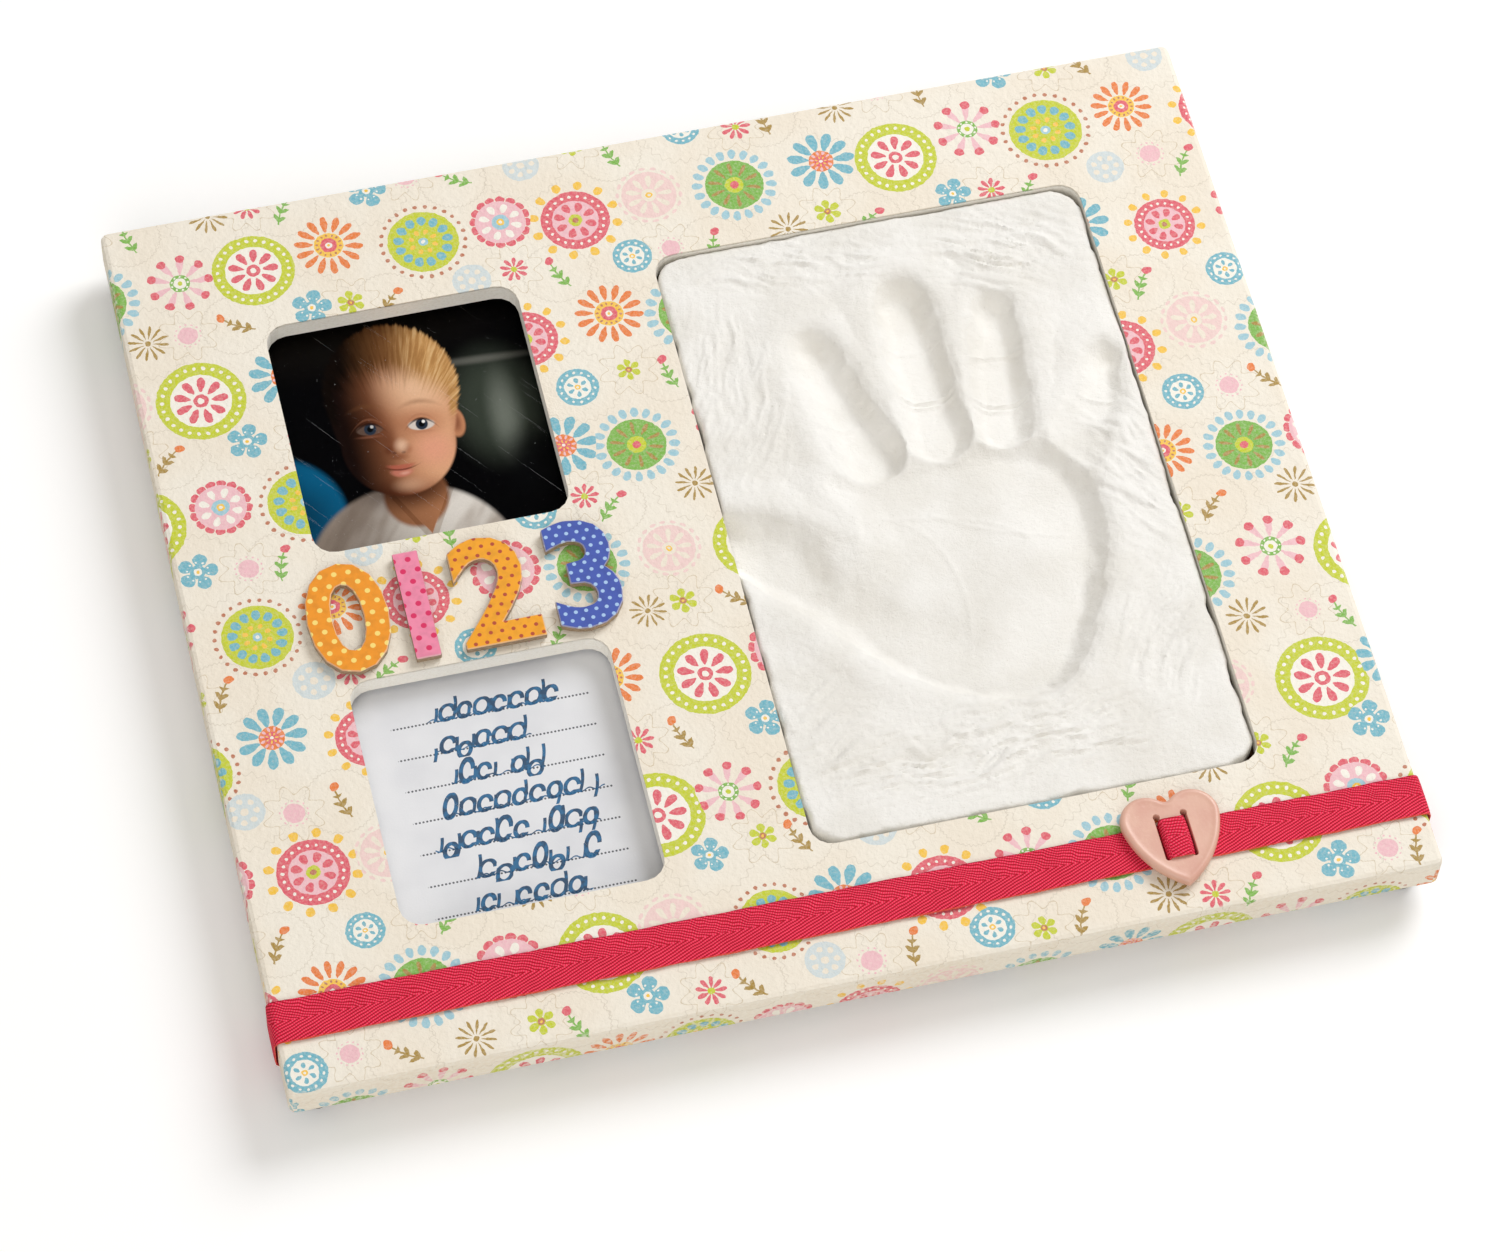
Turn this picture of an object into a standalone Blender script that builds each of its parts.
"""Baby keepsake frame with a clay hand print.

A rebated board wrapped in printed paper has a photo window, a note window and a tall
window filled by a clay slab with a baby's hand pressed into it. A ribbon with a heart
slider runs across the face, four chipboard numerals stand between the small windows,
and the back carries a board held by turn buttons, an easel strut, a hanger and bumpers.

The frame lies face up on its bumpers. +X runs along its long side, +Y up the picture
and +Z out of the face. The origin is under its middle, on the surface that it lies on.
"""

import math
from collections import namedtuple

import bmesh
import bpy
from mathutils import Matrix

MM = 0.001
WELD = 0.00001

# Clearance kept between neighbouring pieces
CLEAR = 0.3 * MM

# Case, measured over the paper
CASE_W = 230 * MM
CASE_D = 201 * MM
CORNER_R = 1.5 * MM
FOLD_R = 1.0 * MM
PAPER_T = 0.3 * MM
TURN_IN = 8 * MM

# Board: what is left in front of the rebate, and the rim round it
FACE_T = 4.0 * MM
RIM_W = 11 * MM

# Windows, laid out from the margins
SIDE_MARGIN = 28.5 * MM
END_MARGIN = 30 * MM
MULLION = 29 * MM
SMALL_W = 52.7 * MM
SMALL_GAP = 30 * MM
WINDOW_R = 4.5 * MM

# Sheets stacked in the rebate
GLAZING_T = 0.6 * MM
PRINT_T = 0.3 * MM
BACK_T = 2.5 * MM
SHEET_LAP = 5 * MM

# Clay slab
CLAY_CORNER_R = 6 * MM
CLAY_SHOULDER = 0.6 * MM
CLAY_COLUMNS = 36
CLAY_ROWS = 56

# Ribbon and its heart slider
RIBBON_W = 9 * MM
RIBBON_T = 0.4 * MM
RIBBON_INSET = 15.3 * MM
RIBBON_TUCK = 9 * MM
HEART_INSET = 50.6 * MM
HEART_W = 20 * MM
HEART_T = 2.0 * MM
HEART_EDGE = 0.6 * MM
HEART_LOBE_R = 5.4 * MM
HEART_SIDE_R = 20 * MM
HEART_SIDE_LEAN_DEG = -10
HEART_BAR = 4.2 * MM

# Chipboard numerals, placed across from the middle of the small windows
NUMERAL_SIZE = 33.5 * MM
NUMERAL_T = 1.7 * MM
NUMERAL_THICKEN = 0.9 * MM
NUMERAL_EDGE = 0.2 * MM
NUMERAL_FOOT_Y = -12.8 * MM
NUMERALS_ACROSS = (-23.15 * MM, -9.25 * MM, 6.55 * MM, 24.95 * MM)

# Bumpers
BUMPER_H = 5 * MM
BUMPER_R = 4.2 * MM
BUMPER_INSET = 6 * MM

# Sheet metal, pins and screws of the back
METAL_T = 0.6 * MM
PIN_R = 0.8 * MM
SHANK_R = 1.0 * MM
HEAD_R = 2.3 * MM
HEAD_H = 0.8 * MM
SHANK_BITE = 1.8 * MM
SLOT_DEPTH = 0.4 * MM

# Turn buttons
BUTTON_X = 60 * MM
BUTTON_R = 3.8 * MM
BUTTON_TIP_R = 2.6 * MM
BUTTON_REACH = 9 * MM
BUTTON_SCREW_INSET = 5.5 * MM

# Easel strut and its hinge, which is this far below the hanger
HINGE_DROP = 40 * MM
HINGE_W = 40 * MM
KNUCKLE_W = 15 * MM
FIXED_LEAF_L = 18 * MM
MOVING_LEAF_L = 22 * MM
STRUT_T = 2.5 * MM
STRUT_TOP_W = 32 * MM
STRUT_FOOT_W = 62 * MM
STRUT_FOOT_INSET = 4.5 * MM
STRUT_CORNER_R = 4 * MM

# Where screws and rivets stand, as shares of the leaf that they hold
HINGE_SCREWS_ACROSS = (-0.3, 0.3)
HINGE_SCREWS_ALONG = 0.65
STRUT_RIVETS_ALONG = (0.4, 0.8)
HANGER_RIVET_ALONG = 0.6

# Hanger
HANGER_INSET = 22.5 * MM
HANGER_W = 11 * MM
HANGER_PLATE_L = 16 * MM
RING_W = 20 * MM
RING_H = 13 * MM
RING_CORNER_R = 2.4 * MM

# Levels, from the surface up
BACK_Z = BUMPER_H + CLEAR
SKIN = PAPER_T + CLEAR
BOARD_LOW = BACK_Z + SKIN
BACK_TOP = BACK_Z + BACK_T
PRINT_LOW = BACK_TOP + CLEAR
GLAZING_LOW = PRINT_LOW + PRINT_T + CLEAR
REBATE_TOP = GLAZING_LOW + GLAZING_T + CLEAR
BOARD_TOP = REBATE_TOP + FACE_T
FACE_Z = BOARD_TOP + SKIN
RIBBON_TOP = FACE_Z + CLEAR + RIBBON_T
HEART_LOW = RIBBON_TOP + CLEAR
HEART_TOP = HEART_LOW + HEART_T

# Rolled knuckles of the strut hinge and of the hanger
KNUCKLE_R = PIN_R + CLEAR + METAL_T
KNUCKLE_Z = BACK_Z - CLEAR - KNUCKLE_R

# Places
RIBBON_Y = RIBBON_INSET - CASE_D / 2
HEART_X = CASE_W / 2 - HEART_INSET
HANGER_Y = CASE_D / 2 - HANGER_INSET
HINGE_Y = HANGER_Y - HINGE_DROP

Window = namedtuple("Window", "x y w d")
CLAY_WINDOW_W = CASE_W - 2 * SIDE_MARGIN - MULLION - SMALL_W
CLAY_WINDOW_D = CASE_D - 2 * END_MARGIN
SMALL_D = (CLAY_WINDOW_D - SMALL_GAP) / 2
SMALL_X = -CASE_W / 2 + SIDE_MARGIN + SMALL_W / 2
CLAY_WINDOW = Window(CASE_W / 2 - SIDE_MARGIN - CLAY_WINDOW_W / 2, 0, CLAY_WINDOW_W, CLAY_WINDOW_D)
PHOTO_WINDOW = Window(SMALL_X, (SMALL_GAP + SMALL_D) / 2, SMALL_W, SMALL_D)
NOTE_WINDOW = Window(SMALL_X, -(SMALL_GAP + SMALL_D) / 2, SMALL_W, SMALL_D)

# Where the hand is pressed into the clay, in millimetres from the slab's middle.
# Each press runs from one point to another, with its half width, depth and wall there.
Press = namedtuple("Press", "x0 y0 half0 deep0 x1 y1 half1 deep1 wall")
HAND = {
    "index finger": Press(-19.8, 42.5, 5.8, 3.4, -12.6, 10.0, 8.2, 3.4, 6.5),
    "middle finger": Press(2.2, 49.0, 6.2, 3.9, 2.2, 10.0, 6.8, 3.6, 6.0),
    "ring finger": Press(19.6, 42.5, 5.6, 3.2, 15.2, 10.0, 6.4, 3.0, 5.8),
    "little finger": Press(38.2, 26.0, 5.2, 2.4, 33.0, 12.0, 5.2, 1.4, 5.4),
    "root of the little finger": Press(33.0, 12.0, 5.0, 1.2, 24.0, 1.0, 6.0, 1.6, 5.5),
    "thumb": Press(-39.5, -2.5, 7.6, 3.2, -19.0, -21.0, 10.5, 3.2, 7.5),
    "palm": Press(8.0, -8.0, 21.0, 2.4, 5.0, -24.0, 23.0, 2.6, 7.5),
    "heel": Press(-13.0, -26.0, 14.0, 3.0, 9.0, -30.0, 17.0, 3.4, 9.0),
}
PRESS_BLEND = 5
PRESS_LIMIT = 4.3 * MM


def clear_scene():
    for obj in list(bpy.data.objects):
        bpy.data.objects.remove(obj)


def make_collection(name):
    collection = bpy.data.collections.new(name)
    bpy.context.scene.collection.children.link(collection)
    return collection


def finish(name, colour, roughness, metallic=0.0):
    """A material with one Principled BSDF."""
    material = bpy.data.materials.new(name)
    material.use_nodes = True
    shader = material.node_tree.nodes["Principled BSDF"]
    shader.inputs["Base Color"].default_value = (*colour, 1.0)
    shader.inputs["Roughness"].default_value = roughness
    shader.inputs["Metallic"].default_value = metallic
    return material


def add_mesh_object(name, mesh, material=None, location=(0, 0, 0)):
    obj = bpy.data.objects.new(name, mesh)
    obj.location = location
    PARTS.objects.link(obj)
    if material:
        mesh.materials.append(material)
    return obj


def mesh_object_from_curve(curve_obj, material):
    """Swaps a curve object for a welded mesh object in the same place."""
    bpy.context.view_layer.update()
    depsgraph = bpy.context.evaluated_depsgraph_get()
    mesh = bpy.data.meshes.new_from_object(curve_obj.evaluated_get(depsgraph))
    bm = bmesh.new()
    bm.from_mesh(mesh)
    bmesh.ops.remove_doubles(bm, verts=bm.verts, dist=WELD)
    bmesh.ops.recalc_face_normals(bm, faces=bm.faces)
    bm.to_mesh(mesh)
    bm.free()
    name = curve_obj.name
    place = curve_obj.matrix_world.copy()
    bpy.data.objects.remove(curve_obj)
    obj = add_mesh_object(name, mesh, material)
    obj.matrix_world = place
    return obj


def curve_object(name, outlines, closed, location, rotation=(0, 0, 0)):
    """A flat curve with one poly spline for each outline, given as (x, y) points."""
    curve = bpy.data.curves.new(name, "CURVE")
    curve.dimensions = "2D"
    for outline in outlines:
        spline = curve.splines.new("POLY")
        spline.points.add(len(outline) - 1)
        for point, (x, y) in zip(spline.points, outline):
            point.co = (x, y, 0, 1)
        spline.use_cyclic_u = closed
    obj = bpy.data.objects.new(name, curve)
    obj.location = location
    obj.rotation_euler = rotation
    PARTS.objects.link(obj)
    return obj


def plate(name, outlines, low, high, material=None, place=(0, 0)):
    """A flat piece between two heights. Outlines inside the first one are holes."""
    middle = (place[0], place[1], (low + high) / 2)
    obj = curve_object(name, outlines, True, middle)
    obj.data.fill_mode = "BOTH"
    obj.data.extrude = (high - low) / 2
    return mesh_object_from_curve(obj, material)


def extrusion_along_x(name, outlines, width, y, z, material):
    """A profile given as (y, z) points, extruded along X about the middle of the frame."""
    upright = (math.pi / 2, 0, math.pi / 2)
    obj = curve_object(name, outlines, True, (0, y, z), upright)
    obj.data.fill_mode = "BOTH"
    obj.data.extrude = width / 2
    return mesh_object_from_curve(obj, material)


def strip(name, path, width, thickness, place, material):
    """A band that follows (x, z) points, with its width along Y."""
    obj = curve_object(name, [path], False, place, (math.pi / 2, 0, 0))
    obj.data.fill_mode = "NONE"
    obj.data.extrude = width / 2
    band = mesh_object_from_curve(obj, material)
    solid = band.modifiers.new("thickness", "SOLIDIFY")
    solid.thickness = thickness
    solid.offset = 0
    solid.use_even_offset = True
    return band


def turned(name, profile, steps, material, location=(0, 0, 0), rotation=(0, 0, 0)):
    """A turned piece from (radius, height) points that run down its outer side."""
    mesh = bpy.data.meshes.new(name)
    points = [(radius, 0, height) for radius, height in profile]
    edges = [(i, i + 1) for i in range(len(points) - 1)]
    mesh.from_pydata(points, edges, [])
    obj = add_mesh_object(name, mesh, material, location)
    obj.rotation_euler = rotation
    screw = obj.modifiers.new("turn", "SCREW")
    screw.steps = steps
    screw.render_steps = steps
    screw.use_merge_vertices = True
    screw.merge_threshold = WELD
    screw.use_smooth_shade = True
    return obj


def arc(cx, cy, radius, start, end, steps):
    """Points along an arc, with angles in degrees."""
    points = []
    for i in range(steps + 1):
        angle = math.radians(start + (end - start) * i / steps)
        points.append((cx + radius * math.cos(angle), cy + radius * math.sin(angle)))
    return points


def circle(radius, sides):
    """A closed ring of points that starts half a side past +X."""
    start = 180 / sides
    return arc(0, 0, radius, start, start + 360, sides)[:-1]


def rounded_polygon(corners, radius, steps, closed=True):
    """A path through the corners with each turn rounded to the radius."""
    points = []
    count = len(corners)
    for i, (x, y) in enumerate(corners):
        if not closed and i in (0, count - 1):
            points.append((x, y))
            continue
        before = corners[i - 1]
        after = corners[(i + 1) % count]
        back = math.atan2(before[1] - y, before[0] - x)
        ahead = math.atan2(after[1] - y, after[0] - x)
        half = math.remainder(ahead - back, math.tau) / 2
        reach = radius / abs(math.sin(half))
        cx = x + reach * math.cos(back + half)
        cy = y + reach * math.sin(back + half)
        swing = math.pi - 2 * abs(half)
        first = back + half + math.pi + math.copysign(swing / 2, half)
        for step in range(steps + 1):
            angle = first - math.copysign(swing, half) * step / steps
            points.append((cx + radius * math.cos(angle), cy + radius * math.sin(angle)))
    return points


def rectangle(width, depth, radius, steps=4, cx=0.0, cy=0.0):
    x0, x1 = cx - width / 2, cx + width / 2
    y0, y1 = cy - depth / 2, cy + depth / 2
    return rounded_polygon([(x0, y0), (x1, y0), (x1, y1), (x0, y1)], radius, steps)


def capsule_outline(radius, tip_radius, reach, steps=8):
    """The outline round two circles, one at the origin and one along +Y."""
    lean = math.degrees(math.asin((radius - tip_radius) / reach))
    lower = arc(0, 0, radius, 180 - lean, 360 + lean, steps)
    upper = arc(0, reach, tip_radius, lean, 180 - lean, steps)
    return lower + upper


def bevel(obj, width, segments=1, angle=50):
    modifier = obj.modifiers.new("edges", "BEVEL")
    modifier.width = width
    modifier.segments = segments
    modifier.use_clamp_overlap = False
    modifier.limit_method = "ANGLE"
    modifier.angle_limit = math.radians(angle)


def smooth(obj, angle=40):
    obj.data.shade_smooth()
    obj.data.set_sharp_from_angle(angle=math.radians(angle))


def as_cutter(obj):
    """Moves an object among the cutters, where it is not part of the model."""
    PARTS.objects.unlink(obj)
    CUTTERS.objects.link(obj)
    obj.hide_render = True
    obj.display_type = "WIRE"
    return obj


def cut(target, *cutters):
    for cutter in cutters:
        modifier = target.modifiers.new("cut " + cutter.name, "BOOLEAN")
        modifier.operation = "DIFFERENCE"
        modifier.solver = "EXACT"
        modifier.object = cutter


def hold(parent_name, place, *children):
    """Parents moving pieces to an empty on their joint's axis, where they stand."""
    empty = bpy.data.objects.new(parent_name, None)
    empty.location = place
    empty.empty_display_size = 10 * MM
    PARTS.objects.link(empty)
    for child in children:
        child.parent = empty
        child.matrix_parent_inverse = Matrix.Translation(place).inverted()


def window_cutter(name, window):
    outline = rectangle(window.w, window.d, WINDOW_R)
    cutter = plate(name, [outline], REBATE_TOP - CLEAR, FACE_Z + CLEAR, place=(window.x, window.y))
    return as_cutter(cutter)


def make_front_board(windows, pilots):
    outline = rectangle(CASE_W - 2 * SKIN, CASE_D - 2 * SKIN, CORNER_R - SKIN, 3)
    board = plate("front_board", [outline], BOARD_LOW, BOARD_TOP, BOARD)
    bevel(board, FOLD_R - SKIN)
    rebate_outline = rectangle(CASE_W - 2 * RIM_W, CASE_D - 2 * RIM_W, CORNER_R, 3)
    rebate = plate("rebate_cutter", [rebate_outline], BOARD_LOW - CLEAR, REBATE_TOP)
    cut(board, as_cutter(rebate), *windows, *pilots)


def make_cover_paper(windows, pilots):
    """Paper over the face and sides, turned in round the back of the rim."""
    outline = rectangle(CASE_W, CASE_D, CORNER_R, 3)
    paper = plate("cover_paper", [outline], BACK_Z, FACE_Z, PAPER)
    bevel(paper, FOLD_R, 2)
    inside_outline = rectangle(CASE_W - 2 * PAPER_T, CASE_D - 2 * PAPER_T, CORNER_R - PAPER_T, 3)
    inside = plate("paper_inside_cutter", [inside_outline], BACK_Z + PAPER_T, FACE_Z - PAPER_T)
    bevel(inside, FOLD_R - PAPER_T, 2)
    back_outline = rectangle(CASE_W - 2 * TURN_IN, CASE_D - 2 * TURN_IN, CORNER_R, 3)
    opening = plate("paper_back_cutter", [back_outline], BACK_Z - CLEAR, BACK_Z + SKIN)
    cut(paper, as_cutter(inside), as_cutter(opening), *windows, *pilots)


def make_sheets():
    """The clear sheet behind both small windows, with the print and the card under it."""
    lap_w = SMALL_W + 2 * SHEET_LAP
    both_d = CLAY_WINDOW_D + 2 * SHEET_LAP
    glazing_top = GLAZING_LOW + GLAZING_T
    outline = rectangle(lap_w, both_d, CORNER_R, 2)
    plate("window_glazing", [outline], GLAZING_LOW, glazing_top, GLAZING, (SMALL_X, 0))
    for name, window, material in (("photo_print", PHOTO_WINDOW, PRINT), ("note_card", NOTE_WINDOW, CARD)):
        outline = rectangle(lap_w, window.d + 2 * SHEET_LAP, CORNER_R, 2)
        plate(name, [outline], PRINT_LOW, PRINT_LOW + PRINT_T, material, (window.x, window.y))


def press_depth(press, x, y):
    """How deep one press goes at a point, in metres, with a soft shoulder round it."""
    along_x = press.x1 - press.x0
    along_y = press.y1 - press.y0
    share = ((x - press.x0) * along_x + (y - press.y0) * along_y) / (along_x ** 2 + along_y ** 2)
    share = min(max(share, 0.0), 1.0)
    away = math.hypot(x - press.x0 - share * along_x, y - press.y0 - share * along_y)
    half = press.half0 + share * (press.half1 - press.half0)
    deep = press.deep0 + share * (press.deep1 - press.deep0)
    rise = min(max((half - away) / press.wall, 0.0), 1.0)
    return MM * deep * rise * rise * (3 - 2 * rise)


def hand_depth(x, y):
    """The presses blended into one hand print, at a point in metres from the slab's middle."""
    total = 0.0
    for press in HAND.values():
        total += (press_depth(press, x / MM, y / MM) / MM) ** PRESS_BLEND
    return min(MM * total ** (1 / PRESS_BLEND), PRESS_LIMIT)


def round_corner(x, y, half_w, half_d, radius):
    """Draws a point in a square corner of a rectangle onto its rounded corner."""
    over_x = abs(x) - (half_w - radius)
    over_y = abs(y) - (half_d - radius)
    if over_x <= 0 or over_y <= 0:
        return x, y
    shrink = max(over_x, over_y) / math.hypot(over_x, over_y)
    near_x = half_w - radius + over_x * shrink
    near_y = half_d - radius + over_y * shrink
    return math.copysign(near_x, x), math.copysign(near_y, y)


def make_clay_slab():
    """A grid with the hand pressed into it, drawn down to a flat underside."""
    half_w = CLAY_WINDOW.w / 2 - CLEAR
    half_d = CLAY_WINDOW.d / 2 - CLEAR
    low = BACK_TOP + CLEAR
    bm = bmesh.new()
    bmesh.ops.create_grid(bm, x_segments=CLAY_COLUMNS, y_segments=CLAY_ROWS, size=1)
    for vert in bm.verts:
        x, y = round_corner(vert.co.x * half_w, vert.co.y * half_d, half_w, half_d, CLAY_CORNER_R)
        drop = CLAY_SHOULDER if vert.is_boundary else 0.0
        vert.co = (x, y, FACE_Z - max(hand_depth(x, y), drop))
    side = bmesh.ops.extrude_face_region(bm, geom=list(bm.faces))
    new_faces = [item for item in side["geom"] if isinstance(item, bmesh.types.BMFace)]
    for item in side["geom"]:
        if isinstance(item, bmesh.types.BMVert):
            item.co.z = low
    bmesh.ops.dissolve_faces(bm, faces=new_faces, use_verts=False)
    bmesh.ops.recalc_face_normals(bm, faces=bm.faces)
    mesh = bpy.data.meshes.new("clay_slab")
    bm.to_mesh(mesh)
    bm.free()
    slab = add_mesh_object("clay_slab", mesh, CLAY, (CLAY_WINDOW.x, CLAY_WINDOW.y, 0))
    smooth(slab, 50)


def make_back_board(pilots):
    width = CASE_W - 2 * RIM_W - 2 * CLEAR
    depth = CASE_D - 2 * RIM_W - 2 * CLEAR
    back = plate("back_board", [rectangle(width, depth, CORNER_R, 3)], BACK_Z, BACK_TOP, HARDBOARD)
    cut(back, *pilots)


def make_ribbon():
    """The band lies on the face, goes round both sides and ends on the back of the rim."""
    out = CLEAR + RIBBON_T / 2
    side = CASE_W / 2 + out
    end = CASE_W / 2 - RIBBON_TUCK
    low, high = BACK_Z - out, FACE_Z + out
    corners = [(-end, low), (-side, low), (-side, high), (side, high), (side, low), (end, low)]
    path = rounded_polygon(corners, FOLD_R + out, 5, closed=False)
    strip("ribbon_band", path, RIBBON_W, RIBBON_T, (0, RIBBON_Y, 0), RIBBON)


def heart_outline():
    """Two round lobes whose outsides run on in flatter arcs to a point, centred in height."""
    lobe_x = HEART_W / 2 - HEART_LOBE_R
    lean = math.radians(HEART_SIDE_LEAN_DEG)
    side_x = lobe_x - (HEART_SIDE_R - HEART_LOBE_R) * math.cos(lean)
    side_y = -(HEART_SIDE_R - HEART_LOBE_R) * math.sin(lean)
    notch = 180 - math.degrees(math.acos(lobe_x / HEART_LOBE_R))
    tip = -math.degrees(math.acos(-side_x / HEART_SIDE_R))
    right = arc(lobe_x, 0, HEART_LOBE_R, notch, HEART_SIDE_LEAN_DEG, 10)
    right += arc(side_x, side_y, HEART_SIDE_R, HEART_SIDE_LEAN_DEG, tip, 9)[1:]
    middle = (HEART_LOBE_R + right[-1][1]) / 2
    right = [(x, y - middle) for x, y in right]
    return right + [(-x, y) for x, y in reversed(right[1:-1])]


def make_heart_slider():
    """A heart with two upright slots. The ribbon comes up, over the bar and down again."""
    place = (HEART_X, RIBBON_Y)
    heart = plate("heart_slider", [heart_outline()], HEART_LOW, HEART_TOP, ENAMEL, place)
    bevel(heart, HEART_EDGE, 2, 60)
    slot_w = RIBBON_T + 3 * CLEAR
    slot_d = RIBBON_W + 4 * CLEAR
    slot_x = (HEART_BAR + slot_w) / 2
    outline = rectangle(slot_w, slot_d, slot_w / 3, 2)
    low, high = HEART_LOW - CLEAR, HEART_TOP + CLEAR
    for side, x in (("left", HEART_X - slot_x), ("right", HEART_X + slot_x)):
        slot = plate(side + "_slot_cutter", [outline], low, high, place=(x, RIBBON_Y))
        cut(heart, as_cutter(slot))
    out = CLEAR + RIBBON_T / 2
    leg = HEART_BAR / 2 + out
    top = HEART_TOP + out
    corners = [(-leg, HEART_LOW), (-leg, top), (leg, top), (leg, HEART_LOW)]
    path = rounded_polygon(corners, 2 * out, 4, closed=False)
    bight = strip("ribbon_bight", path, RIBBON_W, RIBBON_T, (HEART_X, RIBBON_Y, 0), RIBBON)
    hold("heart_carriage", (HEART_X, RIBBON_Y, HEART_LOW), heart, bight)


def make_numerals():
    """Chipboard figures from Blender's own letter shapes, thickened."""
    for digit, across in enumerate(NUMERALS_ACROSS):
        name = "numeral_" + str(digit)
        text = bpy.data.curves.new(name, "FONT")
        text.body = str(digit)
        text.size = NUMERAL_SIZE
        text.align_x = "CENTER"
        text.offset = NUMERAL_THICKEN
        text.extrude = NUMERAL_T / 2
        text.resolution_u = 4
        obj = bpy.data.objects.new(name, text)
        obj.location = (SMALL_X + across, NUMERAL_FOOT_Y, FACE_Z + CLEAR + NUMERAL_T / 2)
        PARTS.objects.link(obj)
        figure = mesh_object_from_curve(obj, NUMERAL_FINISHES[digit])
        bevel(figure, NUMERAL_EDGE)


def make_bumpers():
    """Soft feet under the corners of the rim, flat where they stand."""
    waist = BUMPER_R * 0.92
    sole = BUMPER_R * 0.7
    profile = [(0, BUMPER_H), (BUMPER_R, BUMPER_H), (BUMPER_R, BUMPER_H * 0.7)]
    profile += [(waist, BUMPER_H * 0.25), (sole, 0), (0, 0)]
    x = CASE_W / 2 - BUMPER_INSET
    y = CASE_D / 2 - BUMPER_INSET
    corners = [(-x, -y), (x, -y), (x, y), (-x, y)]
    for i, corner in enumerate(corners):
        turned("bumper_" + str(i + 1), profile, 20, RUBBER, (*corner, 0))


def screw_piece(name, x, y, seat, grip, material, driven=True):
    """A screw or rivet driven upwards: its head bears on seat and passes a sheet of grip."""
    top = seat - CLEAR
    tip = seat + grip + SHANK_BITE
    profile = [(0, tip), (SHANK_R, tip), (SHANK_R, top), (HEAD_R, top)]
    profile += [(HEAD_R * 0.92, top - HEAD_H * 0.55), (HEAD_R * 0.6, top - HEAD_H * 0.9), (0, top - HEAD_H)]
    piece = turned(name, profile, 16, material, (x, y, 0))
    if driven:
        arm, wide, narrow = HEAD_R * 0.6, HEAD_R * 0.15, HEAD_R * 0.1
        cross = [(arm, narrow), (wide, wide), (narrow, arm), (-narrow, arm), (-wide, wide), (-arm, narrow)]
        cross += [(-px, -py) for px, py in cross]
        low, high = top - HEAD_H - CLEAR, top - HEAD_H + SLOT_DEPTH
        cut(piece, as_cutter(plate(name + "_slot_cutter", [cross], low, high, place=(x, y))))
    return piece


def pilot_cutter(name, x, y, low, high):
    return as_cutter(plate(name, [circle(SHANK_R + CLEAR, 10)], low, high, place=(x, y)))


def button_places():
    y = CASE_D / 2 - BUTTON_SCREW_INSET
    return [(-BUTTON_X, y), (BUTTON_X, y), (-BUTTON_X, -y), (BUTTON_X, -y)]


def make_turn_buttons():
    """Each button turns on its screw in the rim, and its arm laps over the back board."""
    pilots = []
    high = BACK_Z - CLEAR
    low = high - METAL_T
    outline = capsule_outline(BUTTON_R, BUTTON_TIP_R, BUTTON_REACH)
    hole = circle(SHANK_R + CLEAR, 10)
    for i, (x, y) in enumerate(button_places()):
        name = "turn_button_" + str(i + 1)
        button = plate(name, [outline, hole], low, high, STEEL, (x, y))
        if y > 0:
            button.rotation_euler.z = math.pi
        grip = high - low + CLEAR
        screw_piece(name + "_screw", x, y, low, grip, BRASS)
        tip = low + grip + SHANK_BITE + CLEAR
        pilots.append(pilot_cutter(name + "_pilot_cutter", x, y, BACK_Z - CLEAR, tip))
    return pilots


def rolled_leaf_outline(length, toward, side):
    """A sheet rolled round a pin, as (y, z) points about the pin's axis.

    toward is +1 or -1 for the way the sheet runs along Y, and side for its face in Z.
    """
    inner = KNUCKLE_R - METAL_T
    meet = math.degrees(math.asin(inner / KNUCKLE_R))
    points = [(length, KNUCKLE_R)] + arc(0, 0, KNUCKLE_R, 90, 360 + meet, 14) + [(length, inner)]
    return [(toward * y, side * z) for y, z in points]


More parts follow.
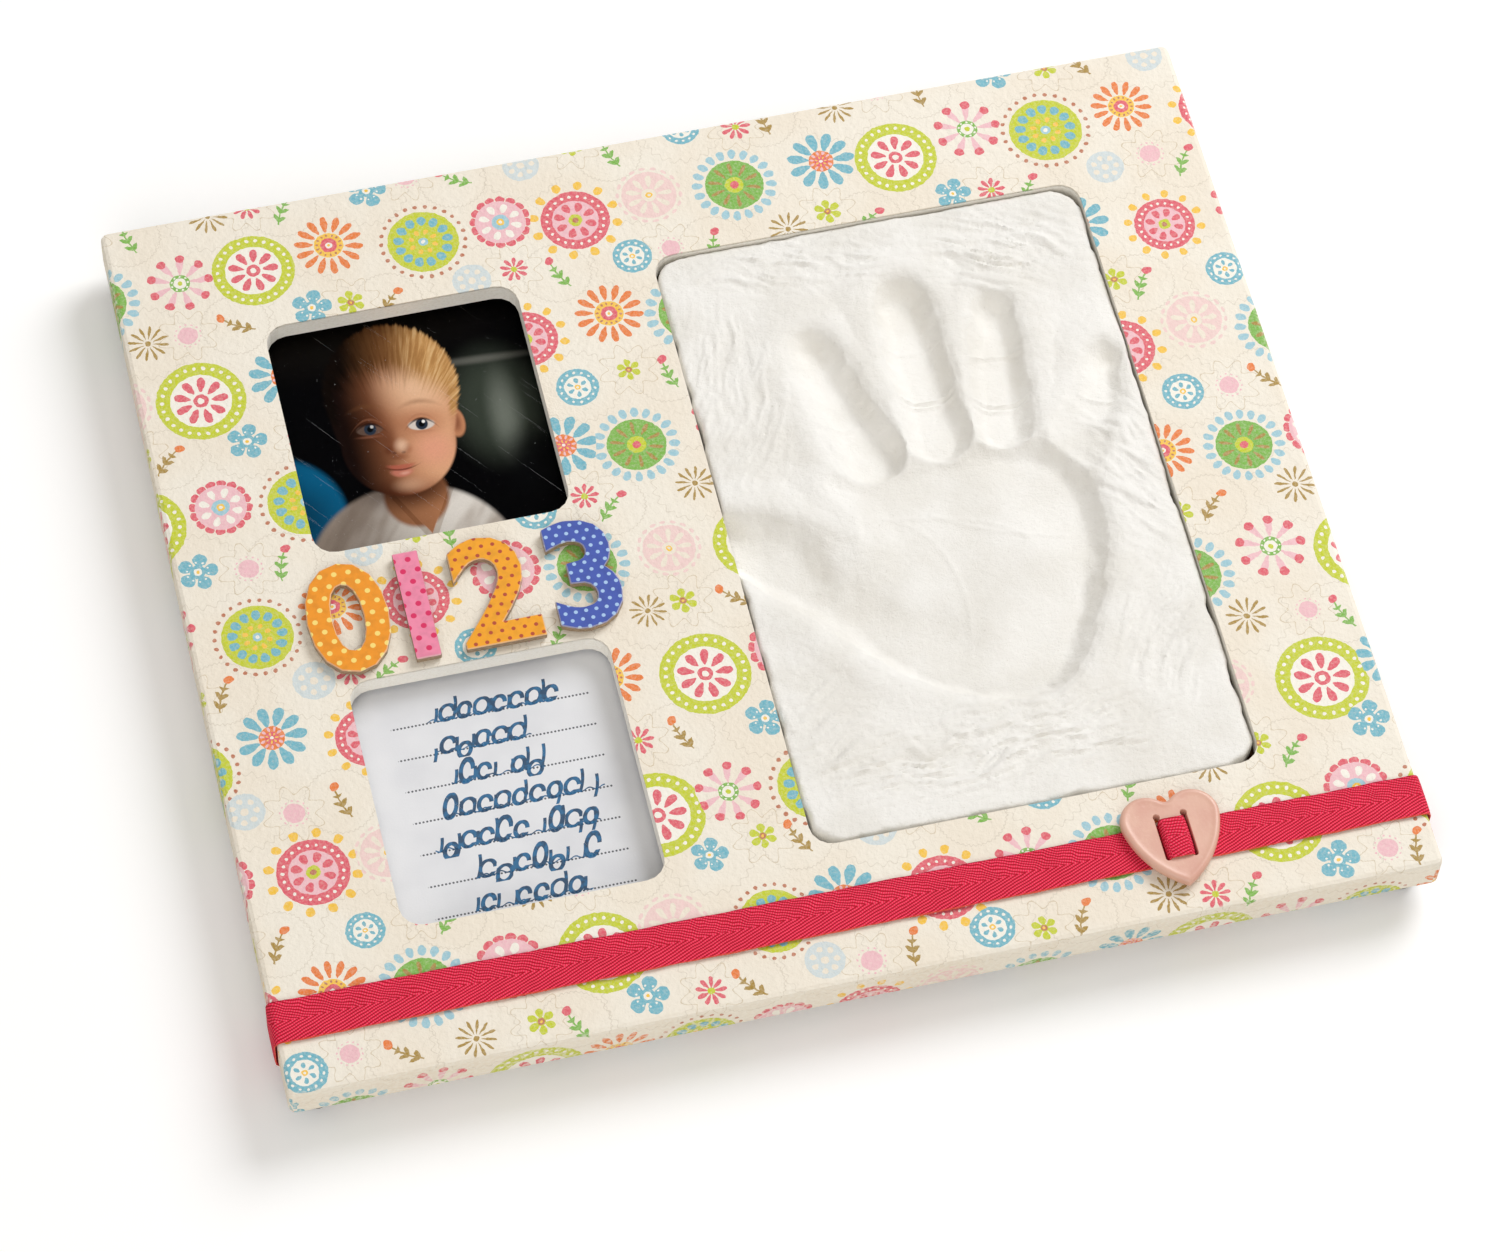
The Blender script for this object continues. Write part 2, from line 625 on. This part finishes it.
def make_strut():
    """The easel strut, folded against the back, and the hinge that it swings on."""
    pin_hole = circle(PIN_R + CLEAR, 12)
    axis = (HINGE_Y, KNUCKLE_Z)
    outlines = [rolled_leaf_outline(FIXED_LEAF_L, 1, 1), pin_hole]
    fixed = extrusion_along_x("hinge_leaf_fixed", outlines, HINGE_W, *axis, STEEL)
    gap_w = KNUCKLE_W + 2 * CLEAR
    gap_d = 2 * (KNUCKLE_R + 2 * CLEAR)
    gap = rectangle(gap_w, gap_d, CLEAR, 1)
    gap_cutter = plate("hinge_gap_cutter", [gap], 0, BACK_Z, place=(0, HINGE_Y))
    outlines = [rolled_leaf_outline(MOVING_LEAF_L, -1, -1), pin_hole]
    moving = extrusion_along_x("hinge_leaf_moving", outlines, KNUCKLE_W, *axis, STEEL)

    end = HINGE_W / 2 + CLEAR
    cap_r = KNUCKLE_R - CLEAR
    profile = [(0, end + METAL_T), (cap_r, end + METAL_T), (cap_r, end), (PIN_R, end)]
    profile += [(r, -z) for r, z in reversed(profile)]
    turned("hinge_pin", profile, 12, STEEL, (0, *axis), (0, math.pi / 2, 0))

    strut_high = BACK_Z - CLEAR
    strut_low = strut_high - STRUT_T
    top_y = HINGE_Y - KNUCKLE_R - 2 * CLEAR
    foot_y = -CASE_D / 2 + STRUT_FOOT_INSET
    corners = [(-STRUT_FOOT_W / 2, foot_y), (STRUT_FOOT_W / 2, foot_y)]
    corners += [(STRUT_TOP_W / 2, top_y), (-STRUT_TOP_W / 2, top_y)]
    outline = rounded_polygon(corners, STRUT_CORNER_R, 4)
    strut = plate("easel_strut", [outline], strut_low, strut_high, HARDBOARD)

    fixed_pilots = []
    leaf_low = KNUCKLE_Z + KNUCKLE_R - METAL_T
    for i, share in enumerate(HINGE_SCREWS_ACROSS):
        x = HINGE_W * share
        y = HINGE_Y + FIXED_LEAF_L * HINGE_SCREWS_ALONG
        name = "hinge_screw_" + str(i + 1)
        grip = BACK_Z - leaf_low
        screw_piece(name, x, y, leaf_low, grip, BRASS)
        tip = leaf_low + grip + SHANK_BITE + CLEAR
        fixed_pilots.append(pilot_cutter(name + "_pilot_cutter", x, y, 0, tip))
    cut(fixed, as_cutter(gap_cutter), *fixed_pilots)

    rivets = []
    moving_low = KNUCKLE_Z - KNUCKLE_R
    for i, share in enumerate(STRUT_RIVETS_ALONG):
        y = HINGE_Y - MOVING_LEAF_L * share
        name = "strut_rivet_" + str(i + 1)
        grip = strut_low - moving_low
        rivets.append(screw_piece(name, 0, y, moving_low, grip, BRASS, driven=False))
        tip = moving_low + grip + SHANK_BITE + CLEAR
        pilot = pilot_cutter(name + "_pilot_cutter", 0, y, 0, tip)
        cut(moving, pilot)
        cut(strut, pilot)
    hold("strut_axis", (0, *axis), strut, moving, *rivets)
    return fixed_pilots


def make_hanger():
    """A plate rolled round a triangular wire ring, riveted to the back board."""
    pin_hole = circle(PIN_R + CLEAR, 12)
    outline = rolled_leaf_outline(HANGER_PLATE_L, -1, 1)
    hanger = extrusion_along_x("hanger_plate", [outline, pin_hole], HANGER_W, HANGER_Y, KNUCKLE_Z, STEEL)
    leaf_low = KNUCKLE_Z + KNUCKLE_R - METAL_T
    rivet_y = HANGER_Y - HANGER_PLATE_L * HANGER_RIVET_ALONG
    grip = BACK_Z - leaf_low
    screw_piece("hanger_rivet", 0, rivet_y, leaf_low, grip, BRASS, driven=False)
    tip = leaf_low + grip + SHANK_BITE + CLEAR
    pilot = pilot_cutter("hanger_rivet_pilot_cutter", 0, rivet_y, 0, tip)
    cut(hanger, pilot)

    corners = [(-RING_W / 2, 0), (RING_W / 2, 0), (0, RING_H)]
    path = rounded_polygon(corners, RING_CORNER_R, 4)
    ring = curve_object("hanger_ring", [path], True, (0, HANGER_Y, KNUCKLE_Z))
    ring.data.dimensions = "3D"
    ring.data.bevel_depth = PIN_R
    ring.data.bevel_resolution = 2
    smooth(mesh_object_from_curve(ring, STEEL), 80)
    return [pilot]


clear_scene()
PARTS = make_collection("baby_photo_frame")
CUTTERS = make_collection("cutters")

BOARD = finish("painted_board", (0.62, 0.61, 0.58), 0.8)
PAPER = finish("printed_paper", (0.86, 0.80, 0.68), 0.75)
GLAZING = finish("clear_sheet", (0.92, 0.94, 0.95), 0.08)
PRINT = finish("photo_paper", (0.10, 0.10, 0.11), 0.25)
CARD = finish("note_card_stock", (0.78, 0.82, 0.88), 0.8)
CLAY = finish("white_clay", (0.86, 0.85, 0.82), 0.85)
HARDBOARD = finish("hardboard", (0.24, 0.14, 0.07), 0.7)
RIBBON = finish("raspberry_twill", (0.62, 0.02, 0.10), 0.7)
ENAMEL = finish("pink_enamel", (0.80, 0.45, 0.38), 0.25)
NUMERAL_FINISHES = (
    finish("orange_chipboard", (0.85, 0.30, 0.03), 0.6),
    finish("pink_chipboard", (0.85, 0.25, 0.35), 0.6),
    finish("amber_chipboard", (0.85, 0.38, 0.05), 0.6),
    finish("blue_chipboard", (0.06, 0.14, 0.60), 0.6),
)
RUBBER = finish("soft_rubber", (0.10, 0.10, 0.10), 0.8)
STEEL = finish("zinc_steel", (0.60, 0.60, 0.58), 0.35, 1.0)
BRASS = finish("brass", (0.72, 0.52, 0.22), 0.3, 1.0)

WINDOW_CUTTERS = [
    window_cutter("photo_window_cutter", PHOTO_WINDOW),
    window_cutter("note_window_cutter", NOTE_WINDOW),
    window_cutter("clay_window_cutter", CLAY_WINDOW),
]
RIM_PILOTS = make_turn_buttons()
BACK_PILOTS = make_strut() + make_hanger()
make_front_board(WINDOW_CUTTERS, RIM_PILOTS)
make_cover_paper(WINDOW_CUTTERS, RIM_PILOTS)
make_sheets()
make_clay_slab()
make_back_board(BACK_PILOTS)
make_ribbon()
make_heart_slider()
make_numerals()
make_bumpers()
